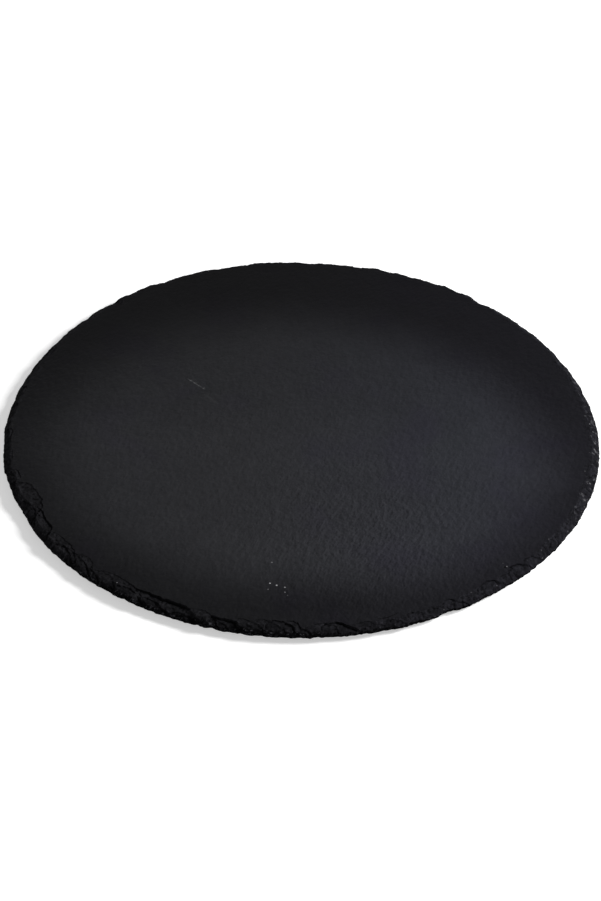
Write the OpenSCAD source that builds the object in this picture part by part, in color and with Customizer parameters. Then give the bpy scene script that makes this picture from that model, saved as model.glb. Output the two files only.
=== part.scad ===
// Round slate serving board with a hand-chipped edge, on four stick-on foot pads.
// Millimetres, +Z up. The board stands on z = 0 and its outline is centred on the Z axis.
// Bearings are in degrees, anticlockwise from the right (+X). The front is towards -Y.

/* [Slate] */
// Diameter of the circle that the slate is trimmed to
slate_d = 300; // [240:5:400]
// Thickness between the split faces
slate_t = 5; // [4.5:0.25:9]

/* [Chipped edge] */
// Usual width of the chipped edge, seen from above
bevel_w = 5.5; // [3:0.5:8]
// Usual height of the raw wall left under the chipped edge
wall_h = 2; // [1:0.1:2.6]
// Distance that the raw wall draws in towards the underside
wall_draft = 0.8; // [0.2:0.1:1.6]

/* [Foot pads] */
// Diameter of a foot pad
foot_d = 14; // [8:1:24]
// Height of a foot pad
foot_h = 2; // [1.25:0.25:5]
// Radius of the rounded lower edge of a foot pad
foot_edge_r = 0.4; // [0.1:0.1:0.8]
// Distance from the trimmed edge in to the middle of a foot pad
foot_inset = 38; // [20:1:60]

/* [Adhesive] */
// Thickness of the adhesive disc on a foot pad
adhesive_t = 0.2; // [0.1:0.05:0.5]
// Margin from the adhesive disc's edge to the foot pad's edge
adhesive_margin = 0.5; // [0.2:0.1:2]

/* [Hidden] */

// Facets round the chipped edge, one to a degree, and round a foot pad
edge_steps = 360;
$fn = 96;

// Bearings of the four foot pads
front_left = 225;
front_right = 315;
back_left = 135;
back_right = 45;

slate_r = slate_d / 2;
slab_z = foot_h + adhesive_t;
foot_r = foot_d / 2;
foot_pitch_r = slate_r - foot_inset;

// How far cuts run past what they cut
overrun = 1;
// The round blank that the slate is chipped from, and the outside of its waste
blank_r = slate_r + bevel_w / 2;
waste_r = blank_r + overrun;

// Swells and notches of the outline: bearing, half width in degrees, height as a share of bevel_w
outline_shares = [
    [350, 30, 0.10], [18, 30, -0.05], [36, 22, -0.04], [48.4, 3.4, -0.27], [52.6, 2.2, 0.10],
    [58.2, 1.8, 0.14], [66, 1.6, -0.14], [73.6, 3, 0.17], [82, 14, -0.10], [87, 5, -0.08],
    [99, 5.5, 0.17], [106, 2.2, -0.12], [112, 11, 0.09], [122.6, 2.4, -0.22], [125, 5, 0.13],
    [131, 4, 0.12], [133.6, 1.5, -0.15], [136, 2, 0.09], [137.5, 3, 0.04], [141.6, 2.4, -0.14],
    [160, 30, -0.24], [174, 5, -0.07], [186.5, 3.5, -0.11], [194.5, 4, 0.09], [208.4, 7, -0.18],
    [215, 15, 0.08], [228, 3, 0.09], [231.8, 2, 0.11], [256, 34, 0.05], [255, 1.5, -0.10],
    [297.6, 2.7, -0.28], [302.4, 2.4, 0.12], [304, 14, -0.07], [324, 7, 0.05], [335, 15, 0.06]
];

// Flake scars: bearing, half width in degrees, bite as a share of bevel_w, the step down at the
// scar's inner edge as a share of the fall, and how square its outline is
flake_shares = [
    [2.5, 2.6, 0.78, 0.06, 2.2], [9, 2.2, 0.88, 0.08, 2], [15.5, 2.8, 0.84, 0.05, 2.4],
    [22, 2, 0.92, 0.08, 2], [28, 3, 0.84, 0.05, 2.6], [35, 2.2, 0.96, 0.08, 2],
    [43, 3.2, 1.05, 0.08, 2.2], [48.5, 2.2, 0.86, 0.08, 2], [53, 2.4, 1.02, 0.10, 2.4],
    [60.5, 2, 0.85, 0.10, 2], [65, 2.6, 0.90, 0.08, 2.4], [70.5, 2.2, 1.05, 0.14, 2],
    [77.5, 1.8, 1.05, 0.16, 2.4], [83, 3, 0.85, 0.08, 2.6], [88, 2.2, 1.05, 0.12, 2],
    [94, 2.6, 0.78, 0.07, 2.4], [102, 2, 0.90, 0.12, 2], [107, 2.4, 1.00, 0.12, 2.2],
    [113, 3, 0.76, 0.07, 2.6], [120.5, 2.2, 0.90, 0.10, 2], [128, 2, 0.78, 0.12, 2.2],
    [134.3, 2.2, 1.02, 0.14, 2.2], [142.5, 2.6, 0.90, 0.10, 2], [149, 3, 0.76, 0.08, 2.6],
    [156, 2.4, 0.92, 0.10, 2], [163, 2.8, 0.76, 0.07, 2.4], [170, 2.2, 0.88, 0.10, 2],
    [176.5, 3, 0.74, 0.08, 2.6], [184, 2.4, 0.84, 0.08, 2], [190.5, 3, 0.92, 0.07, 2.4],
    [196.8, 2.6, 1.12, 0.08, 2], [204.4, 5.2, 2.00, 0.09, 2.4], [207, 4.2, 0.90, 0.12, 1.8],
    [210.8, 4.8, 1.40, 0.16, 4], [219.6, 4.4, 1.42, 0.07, 2.8], [220.2, 2.8, 0.95, 0.12, 1.8],
    [223, 6.2, 1.05, 0.10, 1.7], [226.4, 3.2, 1.50, 0.06, 2.2], [228.5, 2.4, 0.70, 0.10, 2],
    [231.6, 2.4, 1.10, 0.07, 2.4], [234.6, 6, 1.46, 0.07, 1.9], [236.5, 3.6, 0.85, 0.12, 1.8],
    [241.5, 3, 0.78, 0.12, 2], [244.4, 6.2, 1.24, 0.40, 6], [247.5, 2.6, 0.55, 0.10, 2],
    [251.6, 3, 1.20, 0.07, 2.4], [254.5, 2, 0.60, 0.10, 2], [255.8, 2.9, 0.74, 0.38, 6],
    [259.8, 3.2, 1.00, 0.07, 2], [263.2, 2.8, 1.24, 0.07, 2.2], [266, 2.5, 1.28, 0.14, 2.2],
    [268.8, 2, 1.28, 0.10, 2], [273.6, 2.4, 0.95, 0.08, 2.4], [276, 3.6, 0.98, 0.26, 1.7],
    [281.5, 2, 0.74, 0.08, 2], [285.5, 2, 0.55, 0.10, 2], [290.4, 1.8, 0.72, 0.08, 2],
    [294, 2.2, 0.60, 0.08, 2], [297.6, 1.8, 0.78, 0.12, 2.4], [301, 1.8, 0.70, 0.07, 2],
    [306.3, 2.7, 1.04, 0.12, 2.4], [310.4, 1.8, 0.80, 0.06, 2], [313.4, 2.1, 1.20, 0.13, 2.4],
    [316.8, 1.6, 0.95, 0.10, 2], [320.6, 1.8, 0.84, 0.07, 2], [325, 1.8, 0.80, 0.05, 2.2],
    [329.4, 2, 0.92, 0.06, 2], [334, 1.8, 0.80, 0.07, 2.4], [338.4, 2.2, 0.94, 0.05, 2],
    [343, 1.8, 0.82, 0.08, 2], [347.6, 2.2, 0.90, 0.05, 2.2], [352.4, 2, 0.80, 0.06, 2.4],
    [357.5, 2, 0.94, 0.07, 2]
];

// The plain chipped slope below and between the scars: its width as a share of bevel_w, where it
// is wider, its drop as a share of the fall, where it drops less, and how hollow it is
plain_bite_share = 0.62;
plain_swell_shares = [[335, 60, 0.17], [75, 60, 0.10], [196, 24, 0.06]];
plain_fall_share = 0.78;
fall_swell_shares = [[247, 66, -0.38]];
plain_curve = 1.2;

// A scar's floor dips outwards and to the right, and the scar leans to the right, in degrees,
// as it runs out to the arris
floor_dip_share = 0.5;
floor_tilt_share = 0.4;
scar_lean = 1.6;
// Scars squarer than this are straight splits, which run out level at both ends, more gently to
// the right
straight = 4;
left_run_out = 8;
right_run_out = 4;
// Width of the steep step at a scar's inner edge
riser_w = 0.22;
// Least depth of the chipped face below the serving face
least_chip = 0.04;
// How far the deepest scars bite into the raw wall, for each fall past it, as a share of wall_h
wall_notch_share = 0.5;

// Fine ripples: cycles round the edge, phase in degrees, height as a share of what they follow
outline_ripple_shares = [[23, 40, 0.012], [41, 110, 0.014], [67, 200, 0.012]];
plain_ripple_shares = [[11, 30, 0.08], [19, 60, 0.09], [37, 10, 0.10]];
wall_ripple_shares = [[29, 130, 0.05], [59, 20, 0.06], [97, 75, 0.05]];

// Rings of the chipped face below the rim, as the share of the rim's inset that is left there
inset_shares = [0.94, 0.7, 0.45, 0.2, 0];
// The raw wall's bulge at its half height, as a share of its draft
wall_bulge_share = 0.85;

function total(values) = values * [for (v = values) 1];

// Difference between two bearings, from -180 to 180
function turn(b) = b - 360 * round(b / 360);

function ripple_share(ripples, b) =
    total([for (w = ripples) w[2] * sin(w[0] * b + w[1])]);

// Smooth bump of height 1, which ends at u = -1 and u = 1
function bump(u) = abs(u) < 1 ? pow(cos(90 * u), 2) : 0;

function swell_share(swells, b) = total([for (s = swells) s[2] * bump(turn(b - s[0]) / s[1])]);

// 0 below x = 0 and 1 above x = 1, with a smooth rise between
function rise(x) = let (t = min(max(x, 0), 1)) t * t * (3 - 2 * t);

// Inset of a scar's inner edge across its width, as a share of its bite
function scar_edge(u, square) = abs(u) < 1 ? pow(1 - pow(abs(u), square), 1 / square) : 0;

function arris_r(b) = slate_r + bevel_w * (
    swell_share(outline_shares, b) + ripple_share(outline_ripple_shares, b));

function plain_inset(b) = bevel_w * (plain_bite_share + swell_share(plain_swell_shares, b))
    * (1 + ripple_share(plain_ripple_shares, b));

// How far the rim of the serving face lies inside the arris
function rim_inset(b) = max(plain_inset(b),
    max([for (f = flake_shares) bevel_w * f[2] * scar_edge(turn(b - f[0]) / f[1], f[4])]));

// Drop that one scar adds at u across its width, as a share of the fall
function scar_drop(scar, u, inset) =
    let (bite = bevel_w * scar[2],
         inside = rise((bite * scar_edge(u, scar[4]) - inset) / riser_w),
         curve = u < 0 ? left_run_out : right_run_out,
         run_out = scar[4] > straight ? 1 - pow(min(abs(u), 1), curve) : 1,
         dip = floor_dip_share * (1 - inset / bite) + floor_tilt_share * u)
    scar[3] * inside * run_out * (1 + dip);

// Drop of the chipped face below the serving face, as a share of the fall
function chip_drop(b, inset, rim) =
    let (lean = scar_lean * (1 - inset / rim))
    (plain_fall_share + swell_share(fall_swell_shares, b))
    * pow(max(1 - inset / plain_inset(b), 0), plain_curve)
    + total([for (f = flake_shares) scar_drop(f, turn(b - lean - f[0]) / f[1], inset)]);

// Height of the chipped face above the underside
function chip_z(b, inset, rim) =
    let (drop = chip_drop(b, inset, rim))
    slate_t - max(least_chip,
        (slate_t - wall_h) * min(drop, 1) + wall_h * wall_notch_share * max(drop - 1, 0));

// All points at a bearing, from the rim of the serving face down to the underside
function profile(b) =
    let (rim = rim_inset(b),
         arris_z = chip_z(b, 0, rim),
         bulge = wall_draft * wall_bulge_share * (1 + ripple_share(wall_ripple_shares, b)))
    concat(
        [[arris_r(b) - rim, slate_t]],
        [for (s = inset_shares) [arris_r(b) - rim * s, chip_z(b, rim * s, rim)]],
        [[arris_r(b) - wall_draft + bulge, arris_z / 2],
         [arris_r(b) - wall_draft, 0]]);

function on_bearing(b, point) = [point[0] * cos(b), point[0] * sin(b), point[1]];

bearings = [for (i = [0:edge_steps - 1]) 360 * i / edge_steps];
profiles = [for (b = bearings) profile(b)];
ring_count = len(profiles[0]);
rings = [for (k = [0:ring_count - 1], i = [0:edge_steps - 1])
    on_bearing(bearings[i], profiles[i][k])];

// The middle of the outline's box, which goes on the Z axis
function middle(values) = (max(values) + min(values)) / 2;
outline_middle = [middle([for (p = rings) p[0]]), middle([for (p = rings) p[1]]), 0];

// The waste that is chipped away round the slate: a closed ring whose inner wall is the chipped
// face, run on past both split faces
waste_rings = concat(
    [for (i = [0:edge_steps - 1]) [rings[i][0], rings[i][1], slate_t + overrun]],
    rings,
    [for (i = [0:edge_steps - 1])
        let (p = rings[(ring_count - 1) * edge_steps + i]) [p[0], p[1], -overrun]],
    [for (b = bearings) on_bearing(b, [waste_r, -overrun])],
    [for (b = bearings) on_bearing(b, [waste_r, slate_t + overrun])]);
waste_ring_count = ring_count + 4;

function waste_index(k, i) = (k % waste_ring_count) * edge_steps + (i % edge_steps);

// Two triangles for each step between a ring and the next one, clockwise from outside
waste_faces = [for (k = [0:waste_ring_count - 1], i = [0:edge_steps - 1], first = [true, false])
    first
        ? [waste_index(k, i), waste_index(k + 1, i), waste_index(k, i + 1)]
        : [waste_index(k, i + 1), waste_index(k + 1, i), waste_index(k + 1, i + 1)]];

// The slate: flat split faces, flake scars round the top, and a raw wall below them
module slate_slab() {
    color("#2b2c30")
    translate([0, 0, slab_z] - outline_middle)
    difference() {
        cylinder(h = slate_t, r = blank_r);
        polyhedron(points = waste_rings, faces = waste_faces);
    }
}

// Section of a foot pad, with its lower edge rounded
module foot_section() {
    square([foot_r - foot_edge_r, foot_h]);
    translate([0, foot_edge_r]) square([foot_r, foot_h - foot_edge_r]);
    translate([foot_r - foot_edge_r, foot_edge_r]) circle(foot_edge_r);
}

// A rubber pad under the slate
module foot_pad(bearing) {
    color("#17171a")
    rotate([0, 0, bearing]) translate([foot_pitch_r, 0, 0])
    rotate_extrude() foot_section();
}

// The adhesive disc that holds a foot pad to the slate's underside
module adhesive_disc(bearing) {
    color("#d8d2c0")
    rotate([0, 0, bearing]) translate([foot_pitch_r, 0, foot_h])
    cylinder(h = adhesive_t, r = foot_r - adhesive_margin);
}

slate_slab();
foot_pad(front_left);  // foot_front_left
foot_pad(front_right);  // foot_front_right
foot_pad(back_left);  // foot_back_left
foot_pad(back_right);  // foot_back_right
adhesive_disc(front_left);  // adhesive_front_left
adhesive_disc(front_right);  // adhesive_front_right
adhesive_disc(back_left);  // adhesive_back_left
adhesive_disc(back_right);  // adhesive_back_right
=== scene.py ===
"""A round slate serving board with a hand-chipped edge, on four stick-on rubber foot pads.

Metres, Z up. Bearings are in degrees, anticlockwise from the right (+X), and the
front is towards -Y. The slab is a polar mesh whose chipped edge follows the same
scars as the construction, with finer facets, cleavage steps, laminations and relief.
"""

import math

import bpy
import numpy as np
from mathutils import Matrix, Vector


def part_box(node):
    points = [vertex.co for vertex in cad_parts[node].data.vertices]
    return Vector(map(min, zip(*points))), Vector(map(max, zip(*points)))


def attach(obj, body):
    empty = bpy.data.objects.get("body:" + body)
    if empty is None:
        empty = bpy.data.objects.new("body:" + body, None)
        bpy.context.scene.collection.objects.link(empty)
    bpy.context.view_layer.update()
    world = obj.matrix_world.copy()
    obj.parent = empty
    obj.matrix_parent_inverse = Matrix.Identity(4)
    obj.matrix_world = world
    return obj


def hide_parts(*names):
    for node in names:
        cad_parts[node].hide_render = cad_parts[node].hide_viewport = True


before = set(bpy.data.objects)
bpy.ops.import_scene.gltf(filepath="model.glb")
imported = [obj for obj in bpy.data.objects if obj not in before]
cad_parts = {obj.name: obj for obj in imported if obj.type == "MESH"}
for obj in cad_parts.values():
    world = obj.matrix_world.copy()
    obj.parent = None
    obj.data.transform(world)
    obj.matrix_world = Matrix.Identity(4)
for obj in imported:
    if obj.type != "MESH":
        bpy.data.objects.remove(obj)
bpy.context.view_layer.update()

MM = 0.001
ROOT = "root"

# The slate, as in the construction
SLATE_R = 150 * MM
BEVEL_W = 5.5 * MM
WALL_H = 2 * MM
WALL_DRAFT = 0.8 * MM
SLAB_LOW, SLAB_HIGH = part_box("slate_slab")
SLAB_Z = SLAB_LOW.z
SLATE_T = SLAB_HIGH.z - SLAB_LOW.z
FALL = SLATE_T - WALL_H
FOOT_NODES = [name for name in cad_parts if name.startswith("foot_")]
FOOT_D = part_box(FOOT_NODES[0])[1].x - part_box(FOOT_NODES[0])[0].x
# Facets that meet at more than this many degrees keep a sharp edge
SHARP_ANGLE = 38

# Swells and notches of the outline: bearing, half width in degrees, height as a share of BEVEL_W
OUTLINE_SHARES = (
    (350, 30, 0.10), (18, 30, -0.05), (36, 22, -0.04), (48.4, 3.4, -0.27), (52.6, 2.2, 0.10),
    (58.2, 1.8, 0.14), (66, 1.6, -0.14), (73.6, 3, 0.17), (82, 14, -0.10), (87, 5, -0.08),
    (99, 5.5, 0.17), (106, 2.2, -0.12), (112, 11, 0.09), (122.6, 2.4, -0.22), (125, 5, 0.13),
    (131, 4, 0.12), (133.6, 1.5, -0.15), (136, 2, 0.09), (137.5, 3, 0.04), (141.6, 2.4, -0.14),
    (160, 30, -0.24), (174, 5, -0.07), (186.5, 3.5, -0.11), (194.5, 4, 0.09), (208.4, 7, -0.18),
    (215, 15, 0.08), (228, 3, 0.09), (231.8, 2, 0.11), (256, 34, 0.05), (255, 1.5, -0.10),
    (297.6, 2.7, -0.28), (302.4, 2.4, 0.12), (304, 14, -0.07), (324, 7, 0.05), (335, 15, 0.06),
)

# Flake scars: bearing, half width in degrees, bite as a share of BEVEL_W, the step down at the
# scar's inner edge as a share of the fall, and how square its outline is
FLAKE_SHARES = (
    (2.5, 2.6, 0.78, 0.06, 2.2), (9, 2.2, 0.88, 0.08, 2), (15.5, 2.8, 0.84, 0.05, 2.4),
    (22, 2, 0.92, 0.08, 2), (28, 3, 0.84, 0.05, 2.6), (35, 2.2, 0.96, 0.08, 2),
    (43, 3.2, 1.05, 0.08, 2.2), (48.5, 2.2, 0.86, 0.08, 2), (53, 2.4, 1.02, 0.10, 2.4),
    (60.5, 2, 0.85, 0.10, 2), (65, 2.6, 0.90, 0.08, 2.4), (70.5, 2.2, 1.05, 0.14, 2),
    (77.5, 1.8, 1.05, 0.16, 2.4), (83, 3, 0.85, 0.08, 2.6), (88, 2.2, 1.05, 0.12, 2),
    (94, 2.6, 0.78, 0.07, 2.4), (102, 2, 0.90, 0.12, 2), (107, 2.4, 1.00, 0.12, 2.2),
    (113, 3, 0.76, 0.07, 2.6), (120.5, 2.2, 0.90, 0.10, 2), (128, 2, 0.78, 0.12, 2.2),
    (134.3, 2.2, 1.02, 0.14, 2.2), (142.5, 2.6, 0.90, 0.10, 2), (149, 3, 0.76, 0.08, 2.6),
    (156, 2.4, 0.92, 0.10, 2), (163, 2.8, 0.76, 0.07, 2.4), (170, 2.2, 0.88, 0.10, 2),
    (176.5, 3, 0.74, 0.08, 2.6), (184, 2.4, 0.84, 0.08, 2), (190.5, 3, 0.92, 0.07, 2.4),
    (196.8, 2.6, 1.12, 0.08, 2), (204.4, 5.2, 2.00, 0.09, 2.4), (207, 4.2, 0.90, 0.12, 1.8),
    (210.8, 4.8, 1.40, 0.16, 4), (219.6, 4.4, 1.42, 0.07, 2.8), (220.2, 2.8, 0.95, 0.12, 1.8),
    (223, 6.2, 1.05, 0.10, 1.7), (226.4, 3.2, 1.50, 0.06, 2.2), (228.5, 2.4, 0.70, 0.10, 2),
    (231.6, 2.4, 1.10, 0.07, 2.4), (234.6, 6, 1.46, 0.07, 1.9), (236.5, 3.6, 0.85, 0.12, 1.8),
    (241.5, 3, 0.78, 0.12, 2), (244.4, 6.2, 1.24, 0.40, 6), (247.5, 2.6, 0.55, 0.10, 2),
    (251.6, 3, 1.20, 0.07, 2.4), (254.5, 2, 0.60, 0.10, 2), (255.8, 2.9, 0.74, 0.38, 6),
    (259.8, 3.2, 1.00, 0.07, 2), (263.2, 2.8, 1.24, 0.07, 2.2), (266, 2.5, 1.28, 0.14, 2.2),
    (268.8, 2, 1.28, 0.10, 2), (273.6, 2.4, 0.95, 0.08, 2.4), (276, 3.6, 0.98, 0.26, 1.7),
    (281.5, 2, 0.74, 0.08, 2), (285.5, 2, 0.55, 0.10, 2), (290.4, 1.8, 0.72, 0.08, 2),
    (294, 2.2, 0.60, 0.08, 2), (297.6, 1.8, 0.78, 0.12, 2.4), (301, 1.8, 0.70, 0.07, 2),
    (306.3, 2.7, 1.04, 0.12, 2.4), (310.4, 1.8, 0.80, 0.06, 2), (313.4, 2.1, 1.20, 0.13, 2.4),
    (316.8, 1.6, 0.95, 0.10, 2), (320.6, 1.8, 0.84, 0.07, 2), (325, 1.8, 0.80, 0.05, 2.2),
    (329.4, 2, 0.92, 0.06, 2), (334, 1.8, 0.80, 0.07, 2.4), (338.4, 2.2, 0.94, 0.05, 2),
    (343, 1.8, 0.82, 0.08, 2), (347.6, 2.2, 0.90, 0.05, 2.2), (352.4, 2, 0.80, 0.06, 2.4),
    (357.5, 2, 0.94, 0.07, 2),
)
# The plain chipped slope below and between the scars, and where it is wider
PLAIN_BITE_SHARE = 0.62
PLAIN_SWELL_SHARES = ((335, 60, 0.17), (75, 60, 0.10), (196, 24, 0.06))
PLAIN_FALL_SHARE = 0.78
# How hollow the plain slope is
PLAIN_CURVE = 1.2
# Where the plain slope falls less, above a taller raw wall
FALL_SWELL_SHARES = ((247, 66, -0.38),)
# A scar's floor dips outwards and to the right
FLOOR_DIP_SHARE = 0.5
FLOOR_TILT_SHARE = 0.4
# Scars lean to the right as they run out to the arris, in degrees
SCAR_LEAN = 1.6
# Scars squarer than this are straight splits, which run out at both ends, more gently to the right
STRAIGHT = 4
LEFT_RUN_OUT = 8
RIGHT_RUN_OUT = 4
# Least depth of the chipped face below the serving face
LEAST_CHIP = 0.02 * MM
# How far the deepest scars bite into the raw wall, for each fall past it, as a share of WALL_H
WALL_NOTCH_SHARE = 0.5
# The raw wall's bulge at its half height, as a share of its draft
WALL_BULGE_SHARE = 0.85

# Ripples round the edge: cycles, phase in degrees, height as a share
OUTLINE_RIPPLE_SHARES = ((23, 40, 0.012), (41, 110, 0.014), (67, 200, 0.012))
PLAIN_RIPPLE_SHARES = ((11, 30, 0.08), (19, 60, 0.09), (37, 10, 0.10))
WALL_RIPPLE_SHARES = ((29, 130, 0.05), (59, 20, 0.06), (97, 75, 0.05))

# Points round the edge, which halve several times on the way to the middle
EDGE_STEPS = 1792
# The first rings of the chipped face hold its riser, and the rest are evenly spaced
RISER_SHARES = (0.0, 0.03)
CHIP_RINGS = 30
# Rings of the raw wall, as a share of the height of the arris
WALL_HEIGHT_SHARES = (1.0, 0.86, 0.72, 0.58, 0.44, 0.30, 0.14, 0.0)
# Rings of the flat border just inside the rim, as a share of the way to BORDER_R
BORDER_SHARES = (0.06, 0.3, 1.0)
BORDER_R = 134 * MM
UNDER_BORDER_SHARES = (0.25, 1.0)
UNDER_BORDER_R = 145 * MM
# Rings inside the borders: how far apart they and their points are, and the fewest points
TOP_SPACING = 2.4 * MM
UNDER_SPACING = 3.6 * MM
FEWEST = 7
# Points are crowded below these shares of the spacing, and the next ring is then this near
CROWDED_SHARE, HALVED_STEP_SHARE = 0.62, 0.8
VERY_CROWDED_SHARE, SHORT_STEP_SHARE = 0.35, 0.45

# Where painted shade darkens the chipped face on its way out to the raw wall: bearing, half
# width, share
SHADED_LIP_SHARES = ((255, 58, 1.0),)
# Where that, and the ridges and crevices, set in on the way from the rim to the arris
SHADED_LIP_FROM = (0.55, 0.95)
RIDGE_FROM = (0, 0.06)
# How strongly the border is spalled at the rim and on the rings inside it
SPALL_SHARES = (0.40, 0.34, 0.20, 0.0)
# Width of the steep step at a scar's inner edge
RISER_W = 0.22 * MM
# Small flat facets of the chipped face: how far they lean, their two sizes and seeds
FACET_TILT = 0.34
FACET_SIZE = 2.6 * MM
FACET_LAYERS = ((FACET_SIZE, 13), (FACET_SIZE / 2, 14))
# Layers that the slate splits along: their height, how soft their steps are, how far they show
LAYER_H = 0.36 * MM
LAYER_SOFT = 0.2
LAYER_SHARE = 0.4
# How rough the chipped face is, and where it is coarser: bearing, half width, share
ROUGH_SHARE = 0.32
ROUGH_SWELL_SHARES = ((327, 42, 0.3), (18, 45, 0.3), (285, 16, 0.3), (80, 60, 0.2))
# Where the roughness sets in, on the way from the rim to the arris, and where the layers end
ROUGH_FROM = (0.03, 0.2)
LAYERS_TO = (0.9, 1)
# Width over which a hollow or a ridge of the chipped face is told from its surroundings
CREVICE_W = 1.0 * MM
CREVICE_DEPTH = 0.13 * MM
# The raw wall's laminations: how far apart their noise is taken, and what counts as a full ridge
LAMINA_GAP = 7 * MM
LAMINA_RIDGE = 0.25 * MM
# Nicks in the foot of the raw wall: size, depth, how sparse, and how far up, as a share of it
NICK_SIZE = 4.2 * MM
NICK_DEPTH = 1.1 * MM
NICK_SPARSE = 0.15
NICK_TOP_SHARE = 0.2
NICK_SEED = 33
# Where the underside stops being level and is uneven in full, from a foot pad's middle, as shares
# of the pad's diameter
PAD_SHARES = (0.5, 1.2)

# Layers of noise, each with the size of its features, its height and its seed
OUTLINE_NOISE = ((2.6 * MM, 0.20 * MM, 43), (1.1 * MM, 0.17 * MM, 44))
RIM_NOISE = ((3.1 * MM, 0.34 * MM, 41), (1.2 * MM, 0.20 * MM, 42))
CRUMB_NOISE = ((1.4 * MM, 0.13 * MM, 21), (0.8 * MM, 0.09 * MM, 22))
WANDER_NOISE = ((4.6 * MM, 1.3 * LAYER_H, 11),)
WALL_NOISE = ((3.4 * MM, 0.20 * MM, 31), (1.3 * MM, 0.24 * MM, 32))
# How far noise shifts the scars' outlines, in degrees
WARP_NOISE = ((3.8 * MM, 0.6, 45), (1.5 * MM, 0.3, 46))
# The gentle unevenness of both split faces
TOP_NOISE = ((46 * MM, 0.054 * MM, 51), (17 * MM, 0.027 * MM, 52), (6 * MM, 0.009 * MM, 53))
UNDER_NOISE = ((46 * MM, 0.096 * MM, 61), (17 * MM, 0.048 * MM, 62), (6 * MM, 0.016 * MM, 63))

# The bake map: the radius that fills a disc, both discs' middles and radii, and the wall's strips
MAP_R = 154 * MM
TOP_DISC = (0.335, 0.665), 0.33
UNDER_DISC = (0.765, 0.285), 0.23
STRIP_LEFT, STRIP_LENGTH = 0.01, 0.98
STRIP_LOW, STRIP_HEIGHT, STRIP_GAP = 0.004, 0.018, 0.006


def lattice(ix, iy, iz, seed):
    """A fixed value from 0 to 1 for each whole-numbered place."""
    n = (ix * 374761393 + iy * 668265263 + iz * 1442695041 + seed * 974634777) & 0xFFFFFFFF
    n = ((n ^ (n >> 13)) * 1274126177) & 0xFFFFFFFF
    return ((n ^ (n >> 16)) & 0xFFFF) / 0xFFFF


def value_noise(x, y, z, size, seed):
    """Smooth noise from -1 to 1 at each point, with features of about this size."""
    p = np.stack(np.broadcast_arrays(x, y, z), -1) / size
    cell = np.floor(p).astype(np.int64)
    f = p - cell
    f = f * f * (3 - 2 * f)
    total = 0
    for dx in (0, 1):
        for dy in (0, 1):
            for dz in (0, 1):
                weight = np.abs(1 - dx - f[..., 0]) * np.abs(1 - dy - f[..., 1])
                weight = weight * np.abs(1 - dz - f[..., 2])
                value = lattice(cell[..., 0] + dx, cell[..., 1] + dy, cell[..., 2] + dz, seed)
                total = total + weight * value
    return 2 * total - 1


def layered_noise(layers, x, y, z=0):
    """Noise added up from layers of feature size, height and seed."""
    return sum(height * value_noise(x, y, z, size, seed) for size, height, seed in layers)


def facets(x, y, size, seed):
    """Cells in plan, each a small plane that leans its own way. Gives the height over the size."""
    px, py = x / size, y / size
    cx, cy = np.floor(px).astype(np.int64), np.floor(py).astype(np.int64)
    nearest = np.full(np.shape(x), np.inf)
    height = np.zeros(np.shape(x))
    for dx in (-1, 0, 1):
        for dy in (-1, 0, 1):
            ix, iy = cx + dx, cy + dy
            ox = px - ix - lattice(ix, iy, 0, seed)
            oy = py - iy - lattice(ix, iy, 1, seed)
            away = np.hypot(ox, oy)
            lean = (2 * lattice(ix, iy, 2, seed) - 1) * ox + (2 * lattice(ix, iy, 3, seed) - 1) * oy
            height = np.where(away < nearest, lean, height)
            nearest = np.minimum(nearest, away)
    return height


def smooth(low, high, x):
    """0 below low and 1 above high, with a smooth rise between."""
    t = np.clip((x - low) / (high - low), 0, 1)
    return t * t * (3 - 2 * t)


def turn(b):
    """Difference between two bearings, from -180 to 180."""
    return b - 360 * np.round(b / 360)


def ripple(shares, b):
    """Height of the ripples at a bearing."""
    return sum(height * np.sin(np.radians(cycles * b + phase)) for cycles, phase, height in shares)


def on_bearing(b, r):
    """X and Y of a point at a bearing and radius."""
    return r * np.cos(np.radians(b)), r * np.sin(np.radians(b))


def swells(shares, b):
    """Height of the smooth swells at a bearing."""
    total = 0
    for bearing, half, height in shares:
        u = turn(b - bearing) / half
        total = total + height * np.where(np.abs(u) < 1, np.cos(np.radians(90 * u)) ** 2, 0)
    return total


def arris_radius(b):
    """The outline, at the arris between the chipped face and the raw wall."""
    return SLATE_R + BEVEL_W * (swells(OUTLINE_SHARES, b) + ripple(OUTLINE_RIPPLE_SHARES, b))


def warped(b, r):
    """A bearing shifted a little by noise, which makes the scars' outlines uneven."""
    return b + layered_noise(WARP_NOISE, *on_bearing(b, r))


def scar_edge(u, square):
    """Inset of a scar's inner edge across its width, as a share of its bite."""
    return np.clip(1 - np.abs(u) ** square, 0, None) ** (1 / square)


def plain_inset(b):
    """Width of the plain chipped slope."""
    share = PLAIN_BITE_SHARE + swells(PLAIN_SWELL_SHARES, b)
    return BEVEL_W * share * (1 + ripple(PLAIN_RIPPLE_SHARES, b))


def rim_inset(b):
    """How far the rim of the serving face lies inside the arris."""
    inset = plain_inset(b)
    for bearing, half, bite, _, square in FLAKE_SHARES:
        inset = np.maximum(inset, BEVEL_W * bite * scar_edge(turn(b - bearing) / half, square))
    return inset


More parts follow.
